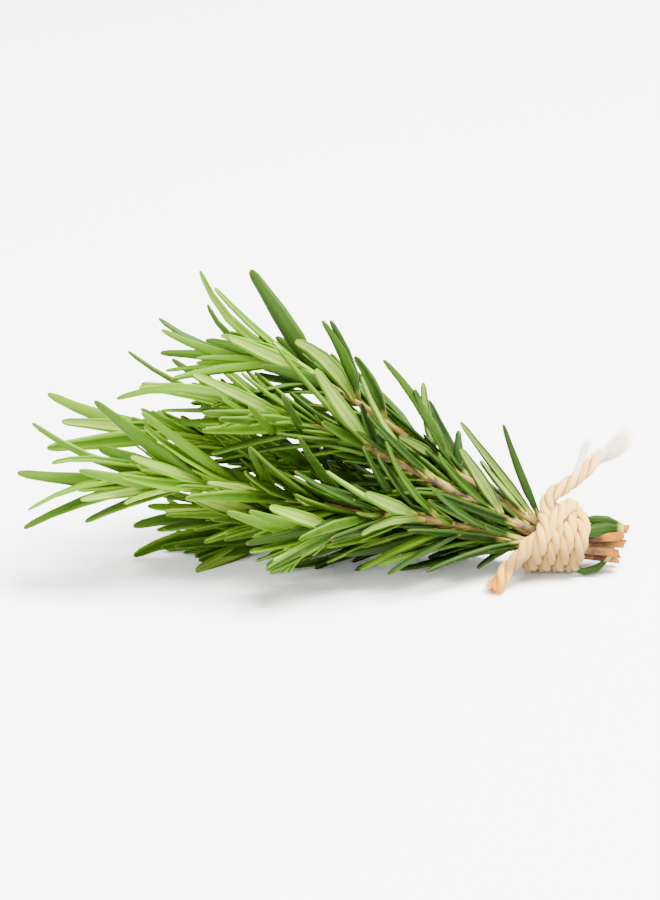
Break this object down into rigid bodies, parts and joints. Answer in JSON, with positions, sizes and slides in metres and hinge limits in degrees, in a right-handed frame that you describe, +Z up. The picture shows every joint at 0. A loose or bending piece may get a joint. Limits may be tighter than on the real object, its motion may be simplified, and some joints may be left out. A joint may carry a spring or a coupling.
{
  "type": "tied bunch of rosemary sprigs",
  "caption": "Small bunch of fresh rosemary: woody sprigs with narrow leaves fanning out from a cotton twine tie near their cut ends, lying on its side.",
  "frame": {"origin": "on the flat underside of the twine, where the tie rests on the table", "axes": "+X from the leaf tips towards the cut ends, +Y towards the far side, +Z up from the table"},
  "size_m": [0.1545, 0.0695, 0.0814],
  "materials": {
    "rosemary": "leathery leaves, satin green above and felted grey-green below, on brown and tan woody stems",
    "cotton_twine": "matt natural cotton, three twisted strands"
  },
  "bodies": {
    "root": {"sprig_top": "rosemary", "sprig_upper_front": "rosemary", "sprig_front": "rosemary", "sprig_near": "rosemary", "sprig_lower": "rosemary", "sprig_bottom": "rosemary", "sprig_centre": "rosemary", "sprig_back": "rosemary", "twine": "cotton_twine"}
  },
  "joints": []
}
